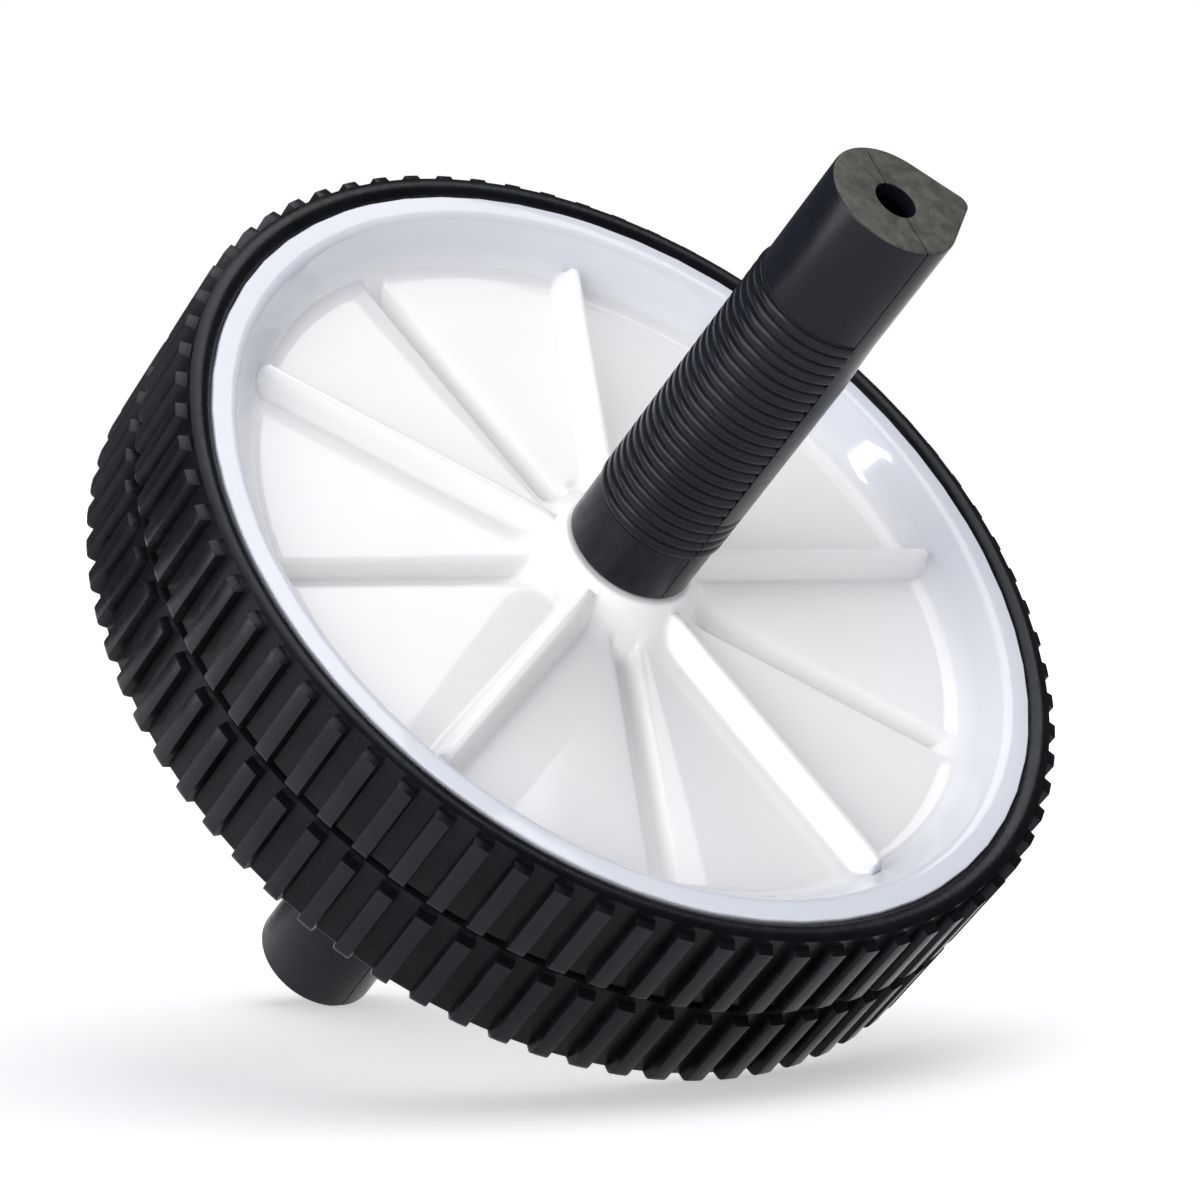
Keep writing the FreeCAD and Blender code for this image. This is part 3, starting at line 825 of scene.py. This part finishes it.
# %% Push the back half out to its ridge
def ridge_stretch(angle):
    """How far the ridge's section stands out of its circle, as a share of the radius, at an angle from it."""
    tip_share = ridge_corner / end_collar_radius
    touch = math.atan2(tip_share / 2, 1 - tip_share / 2)
    if abs(angle) > math.pi / 4:
        return 1
    if abs(angle) > touch:
        return 1 / math.cos(math.pi / 4 - abs(angle))
    centre = (1 - tip_share) * math.sqrt(2)
    return centre * math.cos(angle) + math.sqrt(tip_share ** 2 - (centre * math.sin(angle)) ** 2)


def back_half():
    """Back half of the near grip."""
    ridge_start = rings_start + back_ring_count * ring_pitch
    taper_start = ridge_start + ridge_full_length
    panel = [
        (ridge_start, ring_crest, ring_rounding),
        (taper_start, ring_crest, 0),
        (taper_start + ridge_taper_length, end_collar_radius, 0),
    ]
    bm = half_shell(ring_outline(back_ring_count) + panel + end_outline(), -math.pi, 90)
    for vert in bm.verts:
        radius = math.hypot(vert.co.y, vert.co.z)
        on_panel = vert.co.x > ridge_start - WELD and radius > (hole_radius + end_collar_radius) / 2
        in_groove = vert.co.x < ridge_start + WELD and radius < groove_radius + ring_groove_depth / 2
        if on_panel and not in_groove:
            stretch = ridge_stretch(math.atan2(vert.co.z, vert.co.y))
            vert.co.yz = vert.co.yz * stretch
    return bm

# %% [markdown]
# The far grip is the near one turned end for end, like the far wheel. The back halves are kept in a list, because
# they still have to be drilled for the screws.

# %% Both grips
grip_turns = {"near": Matrix.Identity(4), "far": end_for_end}
back_pieces = []
for end, turn in grip_turns.items():
    front_name = end + "_handle_front"
    back_name = end + "_handle_back"
    add_piece(front_half(), end + "_grip_front", front_name, "grips", charcoal_plastic, turn)
    back = add_piece(
        back_half(), end + "_grip_back", back_name, "grips", charcoal_plastic, turn,
    )
    back_pieces.append(back)

# %% [markdown]
# A hole is cut by a tool, so here a Boolean modifier takes the tool's volume out of the piece. The exact solver is
# the slow and careful one, and self-intersection lets the tool be made of pieces that overlap. The result replaces
# the mesh, so no modifier stays on the piece.

# %% Drill with a Boolean
def drilled(piece, bm, place):
    """Takes the volume of a bmesh out of a piece for good."""
    bm.transform(place)
    mesh = bpy.data.meshes.new("drill")
    bm.to_mesh(mesh)
    bm.free()
    drill = bpy.data.objects.new("drill", mesh)
    bpy.context.scene.collection.objects.link(drill)
    cut = piece.modifiers.new("drill", "BOOLEAN")
    cut.operation = "DIFFERENCE"
    cut.solver = "EXACT"
    cut.use_self = True
    cut.object = drill
    result = bpy.data.meshes.new_from_object(piece.evaluated_get(bpy.context.evaluated_depsgraph_get()))
    piece.modifiers.clear()
    piece.data = result
    bpy.data.objects.remove(drill)
    bpy.data.meshes.remove(mesh)
    result.set_sharp_from_angle(angle=sharp_angle)
    print(piece.name, "has", len(result.polygons), "faces after drilling")

# %% [markdown]
# Two screws hold each grip's halves together and pass through the tube. Their heads sit in counterbores in the
# ridge, below the surface, so that they don't press on the palm. A counterbore is what a flat-ended drill leaves,
# and a plain cylinder is the drill.

# %% Counterbores
SCREW_PLACES = [grip_base + (grip_end - grip_base) * share for share in (0.27, 0.69)]
ridge_top = (end_collar_radius - ridge_corner) * math.sqrt(2) + ridge_corner
screw_seat = ridge_top - 4.6
head_top = ridge_top - 2.4
counterbore_radius = 3.6
drill_length = 10
for piece, turn in zip(back_pieces, grip_turns.values()):
    bm = bmesh.new()
    for x in SCREW_PLACES:
        across = Matrix.Translation((x, screw_seat + drill_length / 2, 0)) @ Matrix.Rotation(math.pi / 2, 4, "X")
        bmesh.ops.create_cone(
            bm, cap_ends=True, segments=40, radius1=counterbore_radius, radius2=counterbore_radius,
            depth=drill_length, matrix=across,
        )
    drilled(piece, bm, from_axle @ turn)

# %% [markdown]
# The screws have pan heads. A screw is turned on a lathe, so it is a profile spun about its own axis, from the point
# up the shank and over the head. The cross recess is punched into the head, and two crossed blocks cut it out.

# %% Screws
shank_radius = 1.7
head_radius = 3.2
slot_width = 0.8
slot_length = 3.4
slot_height = 2.4
SCREW_OUTLINE = [
    (0, -10.9), (shank_radius, -9.2), (shank_radius, screw_seat), (head_radius, screw_seat),
    (head_radius, head_top - 1.3), (2.9, head_top - 0.6), (2.3, head_top - 0.15), (1.4, head_top), (0, head_top),
]


def turned_screw(bm, x):
    """Adds one screw, spun round its own axis across the grip."""
    chain = [bm.verts.new((x + radius, y, 0)) for radius, y in SCREW_OUTLINE]
    edges = [bm.edges.new(pair) for pair in zip(chain, chain[1:])]
    bmesh.ops.spin(
        bm, geom=chain + edges, cent=(x, 0, 0), axis=(0, 1, 0), angle=2 * math.pi, steps=32, use_merge=True,
    )


for end, turn in grip_turns.items():
    bm = bmesh.new()
    recess = bmesh.new()
    for x in SCREW_PLACES:
        turned_screw(bm, x)
        for width, length in ((slot_width, slot_length), (slot_length, slot_width)):
            block = Matrix.Translation((x, head_top, 0)) @ Matrix.Diagonal((width, slot_height, length, 1))
            bmesh.ops.create_cube(recess, size=1, matrix=block)
    node = end + "_handle_screws"
    screws = add_piece(bm, end + "_grip_screws", node, "grips", plated_steel, turn)
    drilled(screws, recess, from_axle @ turn)

# %% [markdown]
# The photograph was taken on white, with no edge or horizon. The table is a large pale sheet that also glows a
# little, more so further away, so that it runs out to pure white while the shadow under the roller stays soft.

# %% Floor
floor_half_width = 3.0
glow_span = (0.25, 0.9)
near_glow = 0.46
far_glow = 0.8
floor_mesh = bpy.data.meshes.new("pale_table")
bm = bmesh.new()
bmesh.ops.create_grid(bm, x_segments=1, y_segments=1, size=floor_half_width)
bm.to_mesh(floor_mesh)
bm.free()
floor = bpy.data.objects.new("pale_table", floor_mesh)
bpy.context.scene.collection.objects.link(floor)
table_white, tree, shader, place = new_material("table_white")
pale = ramp(tree, noise(tree, place, 0.4), (0.83, 0.83, 0.83), (0.85, 0.85, 0.85))
tree.links.new(pale, shader.inputs["Base Color"])
shader.inputs["Roughness"].default_value = 0.7
shader.inputs["Emission Color"].default_value = (1, 1, 1, 1)
distance = tree.nodes.new("ShaderNodeVectorMath")
distance.operation = "LENGTH"
tree.links.new(place, distance.inputs[0])
glow = spread(tree, distance.outputs["Value"], near_glow, far_glow, glow_span)
tree.links.new(glow, shader.inputs["Emission Strength"])
floor_mesh.materials.append(table_white)
print("the table is", 2 * floor_half_width, "m wide")

# %% [markdown]
# A broad overhead light makes the shadow and lights the white floor of the wheel. A sun with a wide angle is the
# same everywhere, like a softbox as large as the ceiling. A panel in front fills the black sides, a weak bluish one
# stands by the camera, and a narrow strip draws the fine lines of light on the grip's rings.

# %% Soft studio light
overhead_power = 1.50
overhead_angle = math.radians(55)
overhead_direction = Vector((0.144, 0.198, 0.97))


def soft_panel(name, place, width, height, power, colour=(1, 1, 1)):
    """Area light that faces the wheel's centre."""
    light = bpy.data.lights.new(name, "AREA")
    light.shape = "RECTANGLE"
    light.size = width
    light.size_y = height
    light.energy = power
    light.color = colour
    panel = bpy.data.objects.new(name, light)
    panel.location = place
    panel.rotation_euler = (wheel_centre - panel.location).to_track_quat("-Z", "Y").to_euler()
    bpy.context.scene.collection.objects.link(panel)
    return panel


overhead = bpy.data.objects.new("overhead_softbox", bpy.data.lights.new("overhead_softbox", "SUN"))
overhead.data.energy = overhead_power
overhead.data.angle = overhead_angle
overhead.rotation_euler = overhead_direction.to_track_quat("Z", "Y").to_euler()
bpy.context.scene.collection.objects.link(overhead)
strip_place = wheel_centre + Vector((0.50, -0.77, 0.40)) * 1.2
front_place = wheel_centre + Vector((0.0, -1.2, 0.25))
fill_place = wheel_centre + Vector((0.78, -0.63, 0.4)) * 1.6
front_strip = soft_panel("front_strip", strip_place, 0.06, 0.4, 1.3)
front_panel = soft_panel("front_panel", front_place, 1.5, 0.9, 21.0)
camera_fill = soft_panel("camera_fill", fill_place, 1.2, 1.0, 3.4, (0.84, 0.87, 1.0))
print("lights:", ", ".join(light.name for light in (overhead, front_strip, front_panel, camera_fill)))

# %% [markdown]
# The panels in front would throw a second shadow behind the roller. A photographer would block it with a board. Here
# light linking does it: a collection that holds only the table, marked to be left out, keeps both panels off it.

# %% Keep the panels off the table
off_table = bpy.data.collections.new("off_table")
off_table.objects.link(floor)
off_table.collection_objects[0].light_linking.link_state = "EXCLUDE"
for panel in (front_panel, camera_fill):
    panel.light_linking.receiver_collection = off_table
print("kept off the table:", front_panel.name, "and", camera_fill.name)

# %% [markdown]
# The room around is white to the camera but dimmer as a light, and darker still in reflections, because a studio
# has dark corners and black rubber would look grey without them. The Light Path node tells the kinds of ray apart.

# %% Room
ROOM_TINT = (0.87, 0.88, 1.0, 1)
room_strength = 0.33
corner_strength = 0.10


def surround_light(background, colour, strength):
    """Gives a background node its colour and strength."""
    background.inputs["Color"].default_value = colour
    background.inputs["Strength"].default_value = strength
    return background.outputs["Background"]


world = bpy.data.worlds.new("white_room")
world.use_nodes = True
tree = world.node_tree
surround = surround_light(tree.nodes["Background"], ROOM_TINT, room_strength)
dark_corners = surround_light(tree.nodes.new("ShaderNodeBackground"), ROOM_TINT, corner_strength)
backdrop = surround_light(tree.nodes.new("ShaderNodeBackground"), (1, 1, 1, 1), 1.0)
rays = tree.nodes.new("ShaderNodeLightPath")
for kind, other in (("Is Glossy Ray", dark_corners), ("Is Camera Ray", backdrop)):
    mix = tree.nodes.new("ShaderNodeMixShader")
    tree.links.new(rays.outputs[kind], mix.inputs["Fac"])
    tree.links.new(surround, mix.inputs[1])
    tree.links.new(other, mix.inputs[2])
    surround = mix.outputs["Shader"]
tree.links.new(surround, tree.nodes["World Output"].inputs["Surface"])
bpy.context.scene.world = world
bpy.context.scene.view_settings.view_transform = "Standard"
print("room light", room_strength, "and", corner_strength, "in reflections")

# %% [markdown]
# The camera stands low, in front and to the right, with a long lens. It is level, and it looks at a point a few
# millimetres beside the wheel's centre, as the photograph does.

# %% Camera
view_azimuth = math.radians(51.0245)
view_elevation = math.radians(2.8606)
view_distance = 0.846465
aim_right = 0.003265
aim_up = 0.001712
lens_length = 136.136
back = Vector((
    math.sin(view_azimuth) * math.cos(view_elevation),
    -math.cos(view_azimuth) * math.cos(view_elevation),
    math.sin(view_elevation),
))
right = Vector((math.cos(view_azimuth), math.sin(view_azimuth), 0))
above = back.cross(right)
camera = bpy.data.objects.new("camera", bpy.data.cameras.new("camera"))
camera.data.lens = lens_length
camera.data.sensor_width = 36
camera.data.clip_start = 0.01
camera.location = wheel_centre + right * aim_right + above * aim_up + back * view_distance
camera.rotation_euler = Matrix((right, above, back)).transposed().to_euler()
bpy.context.scene.collection.objects.link(camera)
bpy.context.scene.camera = camera
print("camera at", [round(c, 4) for c in camera.location])
